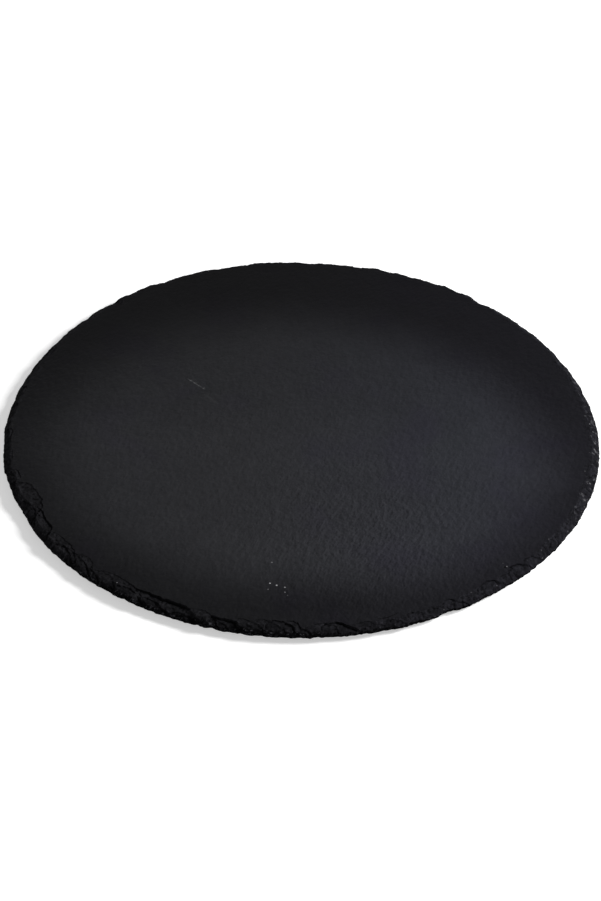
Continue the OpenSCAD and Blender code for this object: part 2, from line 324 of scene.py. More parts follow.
def chip_drop(b, inset, rim):
    """Drop of the chipped face below the serving face, as a share of the fall."""
    fall_share = PLAIN_FALL_SHARE + swells(FALL_SWELL_SHARES, b)
    drop = fall_share * np.clip(1 - inset / plain_inset(b), 0, None) ** PLAIN_CURVE
    lean = SCAR_LEAN * (1 - inset / rim)
    for bearing, half, bite, step, square in FLAKE_SHARES:
        u = turn(b - lean - bearing) / half
        inside = smooth(0, RISER_W, BEVEL_W * bite * scar_edge(u, square) - inset)
        if square > STRAIGHT:
            curve = np.where(u < 0, LEFT_RUN_OUT, RIGHT_RUN_OUT)
            inside = inside * (1 - np.clip(np.abs(u), 0, 1) ** curve)
        dip = FLOOR_DIP_SHARE * (1 - inset / (BEVEL_W * bite)) + FLOOR_TILT_SHARE * u
        drop = drop + step * inside * (1 + dip)
    return drop


def layered(drop, x, y):
    """The drop in soft steps, as the slate splits along layers that wander up and down."""
    wander = layered_noise(WANDER_NOISE, x, y)
    level = (drop + wander) / LAYER_H
    part = level - np.floor(level)
    stepped = np.floor(level) + smooth(0.5 - LAYER_SOFT, 0.5 + LAYER_SOFT, part)
    return LAYER_H * stepped - wander


def chip_height(b, inset, rim, x, y):
    """Height of the chipped face above the underside, with its facets and cleavage steps."""
    share = 1 - inset / rim
    drop = chip_drop(warped(b, np.hypot(x, y)), inset, rim)
    drop = FALL * np.minimum(drop, 1) + WALL_H * WALL_NOTCH_SHARE * np.clip(drop - 1, 0, None)
    inner = smooth(*ROUGH_FROM, share)
    outer = 1 - smooth(*LAYERS_TO, share)
    drop = drop + (layered(drop, x, y) - drop) * LAYER_SHARE * inner * outer
    leans = sum(FACET_TILT * size * facets(x, y, size, seed) for size, seed in FACET_LAYERS)
    crumbs = layered_noise(CRUMB_NOISE, x, y)
    rough = ROUGH_SHARE * (leans + crumbs) + swells(ROUGH_SWELL_SHARES, b) * crumbs
    drop = drop + rough * inner * (0.5 + 0.5 * outer)
    return SLATE_T - np.where(share > 0, np.clip(drop, LEAST_CHIP, None), 0)


def wall_ring(b, arris_r, arris_z, height_share, layer):
    """Radius, height and ridge of one ring of the raw wall, each with its own ragged lamination."""
    bulge = WALL_BULGE_SHARE * (1 + ripple(WALL_RIPPLE_SHARES, b))
    t = 1 - height_share
    recess = WALL_DRAFT * np.where(t < 0.5, (1 - bulge) * 2 * t, (1 - bulge) + bulge * (2 * t - 1))
    x, y = on_bearing(b, arris_r)
    ragged = layered_noise(WALL_NOISE, x, y, layer * LAMINA_GAP)
    ridge = np.clip(ragged / LAMINA_RIDGE, -1, 1)
    if height_share < NICK_TOP_SHARE:
        nick = np.clip(value_noise(x, y, 0, NICK_SIZE, NICK_SEED) - NICK_SPARSE, 0, None)
        recess = recess + NICK_DEPTH * nick * (1 - height_share)
    return arris_r - recess + ragged, arris_z * height_share, ridge


def ridges(rows):
    """From the heights of the chipped face, ring by ring: 1 on a ridge and -1 in a crevice."""
    z = np.array(rows)
    mean = z
    along = round(CREVICE_W / (2 * math.pi * SLATE_R / EDGE_STEPS))
    across = round(CREVICE_W / (BEVEL_W / CHIP_RINGS))
    mean = sum(np.roll(mean, k, 1) for k in range(-along, along + 1)) / (2 * along + 1)
    padded = np.pad(mean, ((across, across), (0, 0)), mode="reflect", reflect_type="odd")
    mean = sum(padded[k:k + len(z)] for k in range(2 * across + 1)) / (2 * across + 1)
    return np.clip((z - mean) / CREVICE_DEPTH, -1, 1)


def chipped_rings(b, arris_r, rim, stretch):
    """Rings of (r, z, chip, ridge) from the rim out to the arris."""
    shares = [*RISER_SHARES, *((i + 1) / CHIP_RINGS for i in range(CHIP_RINGS))]
    placed = []
    for share in shares:
        inset = rim * (1 - share)
        r = arris_r - inset * stretch
        placed.append((r, chip_height(b, inset, rim, *on_bearing(b, r))))
    rings = []
    for (r, z), share, ridge in zip(placed, shares, ridges([z for _, z in placed])):
        # Painted shade that darkens the chipped face on its way out to the raw wall
        shaded_lip = swells(SHADED_LIP_SHARES, b) * smooth(*SHADED_LIP_FROM, share)
        chip = 1 + shaded_lip if share > 0 else SPALL_SHARES[0]
        rings.append((r, z, chip, ridge * smooth(*RIDGE_FROM, share)))
    return rings


def slab_rings():
    """Rings of (x, y, z, chip, ridge) from the border of the serving face round to the
    underside's border. chip is 0 on the split faces, up to 0.4 where they are spalled near the
    rim, 1 on the chipped face, or up to 2 where painted shade darkens it, and 2 on the raw wall."""
    b = 360 * np.arange(EDGE_STEPS) / EDGE_STEPS
    level = np.zeros_like(b)
    edge = on_bearing(b, SLATE_R)
    arris_r = arris_radius(b) + layered_noise(OUTLINE_NOISE, *edge)
    rim = rim_inset(warped(b, arris_r - rim_inset(b)))
    stretch = 1 + layered_noise(RIM_NOISE, *edge) / rim
    rim_r = arris_r - rim * stretch
    rings = []
    for share, spall in zip(reversed(BORDER_SHARES), reversed(SPALL_SHARES[1:])):
        rings.append((rim_r + (BORDER_R - rim_r) * share, level + SLATE_T, spall, level))
    rings += chipped_rings(b, arris_r, rim, stretch)
    arris_z = rings[-1][1]
    for layer, share in enumerate(WALL_HEIGHT_SHARES[1:]):
        r, z, ridge = wall_ring(b, arris_r, arris_z, share, layer)
        rings.append((r, z, 2.0, ridge))
    last = rings[-1][0]
    for share in UNDER_BORDER_SHARES:
        rings.append((last + (UNDER_BORDER_R - last) * share, level, 0.0, level))
    return [(*on_bearing(b, r), z, level + chip, ridge) for r, z, chip, ridge in rings]


def inner_rings(first_r, count, spacing):
    """Radii and point counts of the rings from a border in to the middle. The count halves
    where the points are crowded, and the next ring is then closer."""
    found = []
    r = first_r
    while count > FEWEST:
        gap = 2 * math.pi * r / count
        if gap < spacing * CROWDED_SHARE and count % 2 == 0:
            count //= 2
            closer = gap < spacing * VERY_CROWDED_SHARE
            r -= spacing * (SHORT_STEP_SHARE if closer else HALVED_STEP_SHARE)
        else:
            r -= spacing
        if r < spacing:
            break
        found.append((r, count))
    return found


# Zones of the bake map
TOP, WALL_STRIP, UNDER = 0, 1, 2


class Builder:
    """Collects points, their chip and ridge values, and faces with their zones of the bake map."""

    def __init__(self):
        self.points, self.chips, self.ridges, self.faces, self.zones = [], [], [], [], []
        self.size = 0

    def ring(self, x, y, z, chip=0.0, ridge=0.0):
        start = self.size
        self.points.append(np.stack(np.broadcast_arrays(x, y, z), -1))
        self.chips.append(np.broadcast_to(chip, np.shape(x)))
        self.ridges.append(np.broadcast_to(ridge, np.shape(x)))
        self.size += len(x)
        return start, len(x)

    def add(self, faces, zone):
        """Faces as seen from above. On the underside they are turned over."""
        self.faces += [tuple(reversed(face)) for face in faces] if zone == UNDER else faces
        self.zones += [zone] * len(faces)

    def close(self, ring, x, y, z, zone):
        """Faces from a ring to a single point in its middle."""
        start, count = ring
        centre, _ = self.ring(x, y, z)
        self.add([(start + i, start + (i + 1) % count, centre) for i in range(count)], zone)

    def join(self, outer, inner, zone):
        """Faces between two rings of as many points, or of twice as many outside."""
        a, n = outer
        c, m = inner
        faces = []
        if n == m:
            for i in range(n):
                j = (i + 1) % n
                faces.append((a + i, a + j, c + j, c + i))
        else:
            for i in range(m):
                j = (i + 1) % m
                e, f, g = a + 2 * i, a + 2 * i + 1, a + (2 * i + 2) % n
                faces += [(e, f, c + i), (f, c + j, c + i), (f, g, c + j)]
        self.add(faces, zone)

    def mesh(self, name, material):
        mesh = bpy.data.meshes.new(name)
        mesh.from_pydata(np.concatenate(self.points).tolist(), [], self.faces)
        mesh.validate()
        mesh.shade_smooth()
        mesh.set_sharp_from_angle(angle=math.radians(SHARP_ANGLE))
        mesh.materials.append(material)
        return mesh


def fill_face(builder, border, first_r, z, spacing, relief, zone):
    """The inside of a split face, from its border ring to the middle."""
    last = border
    for r, count in inner_rings(first_r, EDGE_STEPS, spacing):
        b = 360 * np.arange(count) / count
        x, y = on_bearing(b, r)
        ring = builder.ring(x, y, z + relief(x, y))
        builder.join(last, ring, zone)
        last = ring
    middle = np.zeros(1)
    builder.close(last, middle, middle, z + relief(middle, middle), zone)


def disc_map(points, middle, radius):
    """Places on the bake map of points that are seen from above."""
    return np.array(middle) + points[:, :2] * (radius / MAP_R)


def strip_map(points, bearing, first):
    """Places on the bake map of points of the wall: one strip for each half of the edge."""
    second = first >= 180
    u = STRIP_LEFT + STRIP_LENGTH * (bearing - 180 * second) / 180
    v = STRIP_LOW + (STRIP_HEIGHT + STRIP_GAP) * second
    v = v + STRIP_HEIGHT * (points[:, 2] - SLAB_Z) / SLATE_T
    return np.stack([u, v], -1)


def add_bake_map(mesh, zones):
    """Both split faces lie flat on the map, side by side, with the wall as strips under them."""
    points = np.zeros(3 * len(mesh.vertices))
    mesh.vertices.foreach_get("co", points)
    corners = np.zeros(len(mesh.loops), np.int64)
    mesh.loops.foreach_get("vertex_index", corners)
    sizes = np.zeros(len(mesh.polygons), np.int64)
    mesh.polygons.foreach_get("loop_total", sizes)
    points = points.reshape(-1, 3)[corners]
    zone = np.repeat(zones, sizes)
    bearing = np.degrees(np.arctan2(points[:, 1], points[:, 0])) % 360
    first = np.repeat(bearing[np.cumsum(sizes) - sizes], sizes)
    bearing = first + turn(bearing - first)
    top = disc_map(points, *TOP_DISC)
    under = disc_map(points * (-1, 1, 1), *UNDER_DISC)
    wall = strip_map(points, bearing, first)
    places = np.where((zone == TOP)[:, None], top, np.where((zone == UNDER)[:, None], under, wall))
    mesh.uv_layers.new(name="OFBake").uv.foreach_set("vector", places.ravel())


def top_relief(x, y):
    """Gentle unevenness of the serving face."""
    return layered_noise(TOP_NOISE, x, y)


def under_relief(x, y):
    """Hollows of the underside, which is level where the foot pads stick to it."""
    relief = np.abs(layered_noise(UNDER_NOISE, x, y))
    for name in FOOT_NODES:
        low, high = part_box(name)
        away = np.hypot(x - (low.x + high.x) / 2, y - (low.y + high.y) / 2)
        relief = relief * smooth(*PAD_SHARES, away / FOOT_D)
    return relief


def place_rings(builder, rings):
    """Adds the rings to the builder, with the middle of the outline's box on the Z axis."""
    xs = np.concatenate([r[0] for r in rings])
    ys = np.concatenate([r[1] for r in rings])
    shift_x, shift_y = (xs.max() + xs.min()) / 2, (ys.max() + ys.min()) / 2
    placed = []
    for x, y, z, chip, ridge in rings:
        x, y = x - shift_x, y - shift_y
        lift = top_relief(x, y) * z / SLATE_T
        placed.append(builder.ring(x, y, SLAB_Z + z + lift, chip, ridge))
    return placed


def build_slab():
    """All points and faces of the slab."""
    builder = Builder()
    placed = place_rings(builder, slab_rings())
    under = len(placed) - len(UNDER_BORDER_SHARES)
    wall = under - len(WALL_HEIGHT_SHARES) + 1
    for k, (outer, inner) in enumerate(zip(placed[1:], placed[:-1]), 1):
        zone = TOP if k < wall else WALL_STRIP
        if k >= under:
            outer, inner, zone = inner, outer, UNDER
        builder.join(outer, inner, zone)
    fill_face(builder, placed[0], BORDER_R, SLAB_Z + SLATE_T, TOP_SPACING, top_relief, TOP)
    fill_face(builder, placed[-1], UNDER_BORDER_R, SLAB_Z, UNDER_SPACING, under_relief, UNDER)
    return builder


def make_slab(material):
    builder = build_slab()
    mesh = builder.mesh("slate", material)
    for name, values in (("chip", builder.chips), ("ridge", builder.ridges)):
        attribute = mesh.attributes.new(name, "FLOAT", "POINT")
        attribute.data.foreach_set("value", np.concatenate(values).astype(np.float32))
    add_bake_map(mesh, builder.zones)
    slab = new_object("slate", mesh)
    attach(slab, ROOT)
    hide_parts("slate_slab")


def new_object(name, data):
    made = bpy.data.objects.new(name, data)
    bpy.context.scene.collection.objects.link(made)
    return made


class Nodes:
    """Short ways to add shader nodes to a material or world and to wire them."""

    def __init__(self, owner):
        owner.use_nodes = True
        self.tree = owner.node_tree
        self.coordinates = self.add("ShaderNodeTexCoord").outputs
        self.place = self.coordinates["Object"]

    def add(self, kind, **values):
        node = self.tree.nodes.new(kind)
        for name, value in values.items():
            setattr(node, name, value)
        return node

    def put(self, value, socket):
        """Wires an output to a socket, or sets the socket to a constant."""
        if isinstance(value, bpy.types.NodeSocket):
            self.tree.links.new(value, socket)
        else:
            socket.default_value = value

    def split(self, vector):
        """The X, Y and Z of a vector."""
        node = self.add("ShaderNodeSeparateXYZ")
        self.put(vector, node.inputs[0])
        return node.outputs["X"], node.outputs["Y"], node.outputs["Z"]

    def attribute(self, name):
        return self.add("ShaderNodeAttribute", attribute_name=name).outputs["Fac"]

    def shade(self, colour, roughness, normal, specular=0.5):
        """Sets the material's own shader."""
        shader = self.tree.nodes["Principled BSDF"]
        self.put(colour, shader.inputs["Base Color"])
        self.put(roughness, shader.inputs["Roughness"])
        self.put(specular, shader.inputs["Specular IOR Level"])
        self.put(normal, shader.inputs["Normal"])

    def times(self, product, *values):
        for value in values:
            product = self.math("MULTIPLY", product, value)
        return product

    def linear(self, value, slope, start):
        return self.math("MULTIPLY_ADD", value, slope, start)

    def math(self, operation, *values, clamp=False):
        node = self.add("ShaderNodeMath", operation=operation, use_clamp=clamp)
        for value, socket in zip(values, node.inputs):
            self.put(value, socket)
        return node.outputs[0]

    def vector(self, operation, first, second):
        node = self.add("ShaderNodeVectorMath", operation=operation)
        self.put(first, node.inputs[0])
        self.put(second, node.inputs[1])
        return node.outputs["Value" if operation in ("DISTANCE", "DOT_PRODUCT") else "Vector"]

    def noise(self, scale, detail, roughness=0.5, place=None):
        node = self.add("ShaderNodeTexNoise")
        self.put(self.place if place is None else place, node.inputs["Vector"])
        self.put(scale, node.inputs["Scale"])
        self.put(detail, node.inputs["Detail"])
        self.put(roughness, node.inputs["Roughness"])
        return node.outputs["Fac"]

    def cells(self, scale):
        """Distance to the nearest of scattered points, and that point's own colour."""
        node = self.add("ShaderNodeTexVoronoi")
        self.put(self.place, node.inputs["Vector"])
        self.put(scale, node.inputs["Scale"])
        return node.outputs["Distance"], node.outputs["Color"]

    def fade(self, value, low, high, to_low=0.0, to_high=1.0):
        node = self.add("ShaderNodeMapRange", interpolation_type="SMOOTHSTEP")
        names = ("Value", "From Min", "From Max", "To Min", "To Max")
        for amount, name in zip((value, low, high, to_low, to_high), names):
            self.put(amount, node.inputs[name])
        return node.outputs["Result"]

    def mix(self, factor, first, second, blend="MIX"):
        node = self.add("ShaderNodeMix", data_type="RGBA", blend_type=blend)
        for value, name in zip((factor, first, second), ("Factor_Float", "A_Color", "B_Color")):
            self.put(value, next(s for s in node.inputs if s.identifier == name))
        return next(s for s in node.outputs if s.identifier == "Result_Color")

    def bump(self, height, distance, strength=1.0, normal=None):
        node = self.add("ShaderNodeBump")
        self.put(height, node.inputs["Height"])
        self.put(distance, node.inputs["Distance"])
        self.put(strength, node.inputs["Strength"])
        if normal is not None:
            self.put(normal, node.inputs["Normal"])
        return node.outputs["Normal"]


# Colours of the slate: bare in the middle, darker and oiled towards the edge, rough where chipped.
# The paler middle is partly worn bare slate and partly a painted pool of light, and the darker
# oiled edge is partly painted shade
LIT_BARE = (0.0224, 0.0226, 0.0250, 1)
SHADED_OILED = (0.0079, 0.0079, 0.0088, 1)
CHIPPED = (0.0086, 0.0085, 0.0097, 1)
WALL = (0.0034, 0.0034, 0.0038, 1)
GRAZED = (0.034, 0.034, 0.038, 1)
# Painted shade, for the crevices of the chipped face and the foot of the raw wall
PAINTED_SHADE = (0.0012, 0.0012, 0.0014, 1)
UNDERSIDE = (0.026, 0.0262, 0.0285, 1)
PALE = (0.40, 0.40, 0.41, 1)
PIT = (0.0015, 0.0015, 0.0017, 1)
# Tints that multiply them: two kinds of clouds, and the cooler right end of each zone
VIOLET = (0.90, 0.84, 1.0, 1)
GREENISH = (0.90, 0.97, 0.92, 1)
RIGHT_LIT_BARE = (0.955, 0.985, 1.10, 1)
RIGHT_SHADED_OILED = (0.99, 0.965, 1.12, 1)
RIGHT_CHIPPED = (0.97, 0.97, 1.08, 1)
RIGHT_FADE = (-50 * MM, 120 * MM)

# The bare middle, partly worn slate and partly a painted pool of light that fades to painted shade
# at the edge: its half width, how far its edge fades and drifts, how much wider than deep it is,
# and its centre. For each metre: how much softer it is to the far side, and how much its right
# half dips to the front and is sharper.
LIT_BARE_R = 123 * MM
LIT_BARE_SOFT = 32 * MM
LIT_BARE_DRIFT = 8 * MM
LIT_BARE_DEPTH = 1.19
LIT_BARE_MIDDLE = (-1 * MM, -13 * MM * LIT_BARE_DEPTH, 0)
LIT_BARE_SOFTER = 0.05
LIT_BARE_DIP = 0.11
LIT_BARE_SHARPER = 0.06
# Painted shade and light: how much darker the far side and paler the right side are, for each
# metre, and from which X
FAR_PAINTED_SHADE = 1.95
RIGHT_PAINTED_LIGHT = 0.75
PAINTED_LIGHT_FROM = -60 * MM
# A painted band of light: the line across the board where its face is palest, and the distances
# from it and the tones where that begins and is full
GLOW_Y = -20 * MM
GLOW_FADE = (44 * MM, 2 * MM)
GLOW_SHARES = (0.96, 1.05)
# Where the rim is spalled: not at the front
SPALL_FADE = (-90 * MM, -30 * MM)
# Painted fill light: how many times paler the broken stone is at the left end, and where that
# sets in
LEFT_FILL_LIGHT = 1.15
LEFT_FILL_FADE = (-60 * MM, -125 * MM)
# Pale patches lie at the right end, and pale grains and painted glints are fewer at the far side
PALE_PATCH_FADE = (125 * MM, 146 * MM)
FEWER_FADE = (55 * MM, 10 * MM)
# Heights where the underside's looks end, where the painted shadow at the foot of the wall ends
# and is full, and where the serving face is
UPPER_FADE = (SLAB_Z + 0.2 * MM, SLAB_Z + 0.6 * MM)
FOOT_SHADE_FADE = (SLAB_Z + 1.1 * MM, SLAB_Z + 0.3 * MM)
FACE_FROM = SLAB_Z + SLATE_T - 0.3 * MM

# The split face's leathery relief: how much longer than wide its grain is, how far that is turned
# in degrees, its depth, the shares of it at the far side and elsewhere, and where it is deepest
GRAIN_LENGTH = 1.6
GRAIN_TURN = -26
LEATHER_DEPTH = 0.54 * MM
LEATHER_FADE = (90 * MM, 30 * MM)
LEATHER_SHARES = (0.35, 0.78)
DEEPEST_MM = (34, -88)
DEEPEST_R = 85 * MM
DEEPEST_SHARE = 0.75
# How deep the grit of broken stone and the cut marks are
GRIT_DEPTH = 0.3 * MM
CUT_DEPTH = 0.25 * MM

# Pale mineral flecks in plan, those at the right rim being painted glints: x, y, width and how pale
FLECKS_AND_GLINTS_MM = (
    (-13.1, -104.1, 0.9, 0.33), (-13.7, -118.5, 1.0, 1.0), (-10.6, -119.8, 1.0, 1.0),
    (-6.8, -121.1, 0.9, 0.8), (-14.5, -122.6, 0.8, 0.26), (-6.7, -124.4, 0.9, 0.32),
    (-5.5, -126.4, 0.8, 0.2), (-84.1, -119.3, 0.9, 0.3), (96.4, -104.7, 0.9, 0.45),
    (94.7, -102.6, 0.7, 0.12), (78.7, -122.6, 0.8, 0.12), (65.9, -132.1, 0.8, 0.1),
    (139.9, -34.4, 1.1, 0.1), (147.4, -1.9, 1.2, 0.16), (141.7, -42.2, 1.2, 0.25),
    (138.0, -54.6, 1.2, 0.15), (141.4, -45.8, 1.0, 0.08), (137.4, -58.6, 1.1, 0.1),
    (135.6, -62.4, 1.0, 0.08), (127.6, -77.1, 1.0, 0.1), (-20.0, 82.7, 0.8, 0.04),
)
# A short pale scratch, crushed in four places, and the faint tail past it: their ends and widths
SCRATCH_MM = (-59.9, 37.1), (-50.6, 28.3), 0.45
SCRATCH_BITS_MM = (
    (-57.9, 35.2, 1.9, 0.10), (-55.7, 33.1, 2.2, 0.06),
    (-53.5, 31.0, 1.9, 0.08), (-51.0, 28.7, 2.2, 0.05),
)
SCRATCH_TAIL_MM = (-50.1, 23.2), (-43.6, 16.2), 1.0
# How pale the scratch is, and its tail beside it
SCRATCH_SHARE = 0.07
TAIL_SHARE = 0.2
# A hairline crack near the rim, in two parts: their ends and widths
CRACK_MM = (((35.6, -141.1), (40.1, -140.0), 0.34), ((40.1, -140.0), (44.7, -136.9), 0.34))
# Small dark pits in plan: x, y, width and how dark
PITS_MM = (
    (95.2, -105.4, 1.6, 1.0), (70.5, -129.6, 1.6, 0.7),
    (74.7, -129.0, 1.4, 0.7), (51.1, -136.7, 1.3, 0.6),
)
PIT_SHARE = 0.8


def at_mm(x, y):
    return (x * MM, y * MM, 0)


class SlateNodes(Nodes):
    """The looks of the slate, zone by zone. What several of its parts need is made first."""

    def __init__(self, owner):
        super().__init__(owner)
        self.x, self.y, self.z = self.split(self.place)
        self.plan = self.vector("MULTIPLY", self.place, (1, 1, 0))
        self.right = self.fade(self.x, *RIGHT_FADE)
        self.upper = self.fade(self.z, *UPPER_FADE)
        # The bare middle: partly worn slate, partly a painted pool of light
        self.bare = self.lit_bare_middle()
        self.chip, self.wall = self.broken_zones()
        relief = self.attribute("ridge")
        self.ridge = self.math("MAXIMUM", relief, 0.0)
        # Painted shade in the crevices of the chipped face
        self.crevice = self.fade(relief, -0.4, -1.0, 0.0, 0.65)
        self.leather = self.leather_grain()
        self.grain = self.noise(1500, 2)
        self.grit = self.noise(700, 4, 0.72)
        self.dark = self.dark_marks()
        self.scratch, self.tail = self.pale_lines()

    def around(self, middle, noise, spread):
        """Noise from 0 to 1, moved and spread out around a middle value."""
        return self.linear(noise, spread, middle - spread / 2)

    def spots(self, places):
        """Each spot's strength inside it, fading out at its edge."""
        found = 0.0
        for x, y, width, strength in places:
            away = self.vector("DISTANCE", self.plan, at_mm(x, y))
            spot = self.fade(away, width * 0.5 * MM, width * 0.25 * MM, 0.0, strength)
            found = self.math("MAXIMUM", found, spot)
        return found

    def line(self, start, end, width):
        """1 along a straight line on the board, fading out at its edges."""
        a, b = Vector(at_mm(*start)), Vector(at_mm(*end))
        from_a = self.vector("SUBTRACT", self.plan, a)
        along = self.vector("DOT_PRODUCT", from_a, b - a)
        along = self.math("DIVIDE", along, (b - a).length_squared, clamp=True)
        away = self.vector("DISTANCE", from_a, self.vector("MULTIPLY", b - a, along))
        return self.fade(away, width * MM, width * 0.4 * MM)

    def lit_bare_middle(self):
        """1 in the bare middle, which is partly worn slate and partly a painted pool of light, a
        little wider than it is deep, with a ragged edge.
        """
        to_right = self.math("MAXIMUM", self.x, 0.0)
        dip = self.vector("MULTIPLY", (0, LIT_BARE_DIP, 0), to_right)
        dipped = self.vector("ADD", self.plan, dip)
        stretched = self.vector("MULTIPLY", dipped, (1, LIT_BARE_DEPTH, 0))
        away = self.vector("DISTANCE", stretched, LIT_BARE_MIDDLE)
        drift = self.around(0, self.noise(14, 2), 2 * LIT_BARE_DRIFT)
        away = self.math("ADD", away, drift)
        soft = self.linear(self.y, LIT_BARE_SOFTER, LIT_BARE_SOFT)
        soft = self.linear(to_right, -LIT_BARE_SHARPER, soft)
        outside = self.math("ADD", soft, LIT_BARE_R)
        inside = self.math("SUBTRACT", LIT_BARE_R, soft)
        return self.fade(away, outside, inside)

    def broken_zones(self):
        """Where the stone is chipped or spalled, and where it is raw wall or in painted shade shown
        in the raw wall's colour.
        """
        layer = self.attribute("chip")
        ragged = self.around(0, self.noise(380, 3, 0.65), 1.4)
        chip = self.fade(layer, 0.45, 0.6)
        # Raw wall where chip is 2, and painted shade in the wall's colour where it is past 1
        wall = self.math("ADD", self.math("SUBTRACT", layer, 1.0, clamp=True), ragged)
        wall = self.times(self.fade(wall, 0.25, 0.75), chip)
        spall = self.fade(self.linear(layer, 2.5, ragged), 0.78, 0.95, 0.0, 0.75)
        spall = self.times(spall, self.fade(self.y, *SPALL_FADE), self.upper)
        return self.math("MAXIMUM", chip, spall), wall

    def leather_grain(self):
        """The grain of the split faces, longer one way than the other."""
        grained = self.add("ShaderNodeMapping", vector_type="TEXTURE")
        self.put(self.place, grained.inputs["Vector"])
        self.put((0, 0, math.radians(GRAIN_TURN)), grained.inputs["Rotation"])
        self.put((1, GRAIN_LENGTH, 1), grained.inputs["Scale"])
        return self.noise(500, 1, place=grained.outputs[0])

    def dark_marks(self):
        """Pits and the hairline crack."""
        found = self.spots(PITS_MM)
        for part in CRACK_MM:
            found = self.math("MAXIMUM", found, self.line(*part))
        return self.times(found, self.upper)

    def pale_lines(self):
        """The scratch, uneven along its length, and its tail, on the serving face only."""
        face = self.math("GREATER_THAN", self.z, FACE_FROM)
        uneven = self.fade(self.noise(900, 1), 0.36, 0.6, 0.25, 1.0)
        scratch = self.times(self.line(*SCRATCH_MM), uneven, face)
        return scratch, self.times(self.line(*SCRATCH_TAIL_MM), TAIL_SHARE, face)

    def face_colour(self):
        """Bare or oiled slate, partly a painted pool of light and painted shade, with faint violet
        and green-grey clouds, and the dry underside.
        """
        stone = self.mix(self.bare, SHADED_OILED, LIT_BARE)
        stone = self.mix(self.upper, UNDERSIDE, stone)
        cloud = self.fade(self.noise(26, 3), 0.52, 0.72, 0, 0.5)
        stone = self.mix(cloud, stone, VIOLET, "MULTIPLY")
        cloud = self.fade(self.noise(19, 3), 0.56, 0.74, 0, 0.25)
        stone = self.mix(cloud, stone, GREENISH, "MULTIPLY")
        tint = self.mix(self.bare, RIGHT_SHADED_OILED, RIGHT_LIT_BARE)
        return self.mix(self.right, stone, tint, "MULTIPLY")

    def face_tone(self):
        """Leathery mottling, grain and blotches, with painted shade at the far side, painted light
        at the right and a painted band of light across the board.
        """
        leather = self.around(1, self.leather, 0.3)
        grain = self.around(1, self.grain, 0.25)
        blotch = self.around(1, self.noise(95, 3, 0.55), 0.3)
        # Painted shade to the far side and painted light to the right
        shade = self.linear(self.y, -FAR_PAINTED_SHADE, 1.0)
        shade = self.linear(self.math("MAXIMUM", self.x, PAINTED_LIGHT_FROM), RIGHT_PAINTED_LIGHT, shade)
        # A painted band of light along a line across the board
        off_line = self.math("ABSOLUTE", self.math("SUBTRACT", self.y, GLOW_Y))
        painted_glow = self.fade(off_line, *GLOW_FADE, *GLOW_SHARES)
        return self.times(leather, grain, blotch, shade, painted_glow)

    def pale_grains_and_glints(self):
        """Faint pale grains in broken stone, which become painted glints towards the right where
        the key light falls, and pale patches at the right end.
        """
        away, colour = self.cells(800)
        # Painted glints, far stronger towards the right
        more = self.linear(self.right, 0.2, 0.03)
        painted_glint = self.times(self.fade(colour, 0.88, 0.95), self.fade(away, 0.5, 0.2), more)
        pale_patches = self.fade(self.noise(420, 3, 0.7), 0.56, 0.70, 0.0, 0.15)
        pale_patches = self.times(pale_patches, self.chip, self.fade(self.x, *PALE_PATCH_FADE))
        fewer = self.fade(self.y, *FEWER_FADE, 0.25, 1.0)
        return self.times(self.math("MAXIMUM", painted_glint, pale_patches), fewer)

    def broken_colour(self):
        """Chipped stone with pale grains and painted glints and with painted shade in its crevices,
        and the raw wall with a painted shadow at its foot.
        """
        stone = self.mix(self.right, CHIPPED, RIGHT_CHIPPED, "MULTIPLY")
        stone = self.mix(self.pale_grains_and_glints(), stone, PALE)
        # Painted shade in the crevices
        stone = self.mix(self.crevice, stone, PAINTED_SHADE)
        grazed = self.fade(self.grit, 0.54, 0.64, 0.0, 0.8)
        stone = self.mix(self.wall, stone, self.mix(grazed, WALL, GRAZED))
        # Painted shadow at the foot of the raw wall, against the floor
        low = self.fade(self.z, *FOOT_SHADE_FADE, 0.0, 0.75)
        return self.mix(self.times(self.wall, low), stone, PAINTED_SHADE)

    def broken_tone(self):
        """Coarse grains and patches, paler on ridges as edge wear and painted highlight, and with
        painted fill light at the left end.
        """
        grains = self.fade(self.grit, 0.3, 0.7, 0.6, 1.4)
        patches = self.fade(self.noise(210, 2), 0.35, 0.65, 0.75, 1.25)
        # Paler on ridges: partly edge wear, partly a painted highlight
        raised = self.linear(self.ridge, 0.4, 1.0)
        # Painted fill light at the left end
        return self.times(grains, patches, raised, self.fade(self.x, *LEFT_FILL_FADE, 1.0, LEFT_FILL_LIGHT))

    def marked(self, stone):
        """The stone with its pits and crack, its scratch and tail, and its pale flecks, of which
        those at the right rim are painted glints.
        """
        flecks = self.times(self.spots(FLECKS_AND_GLINTS_MM + SCRATCH_BITS_MM), self.upper)
        lines = self.math("MAXIMUM", self.scratch, self.tail)
        stone = self.mix(self.times(self.dark, PIT_SHARE), stone, PIT)
        stone = self.mix(self.times(lines, SCRATCH_SHARE), stone, PALE)
        return self.mix(flecks, stone, PALE)

    def roughness(self):
        """Rougher where oiled than where bare, and roughest where broken."""
        rough = self.linear(self.leather, 0.16, 0.5)
        rough = self.linear(self.bare, -0.04, rough)
        return self.linear(self.chip, 0.3, rough)

    def shine(self):
        """Faint all over, and fainter on the raw wall and in crevices."""
        dull = self.times(self.math("MAXIMUM", self.wall, self.crevice), self.chip)
        return self.linear(dull, -0.036, 0.04)

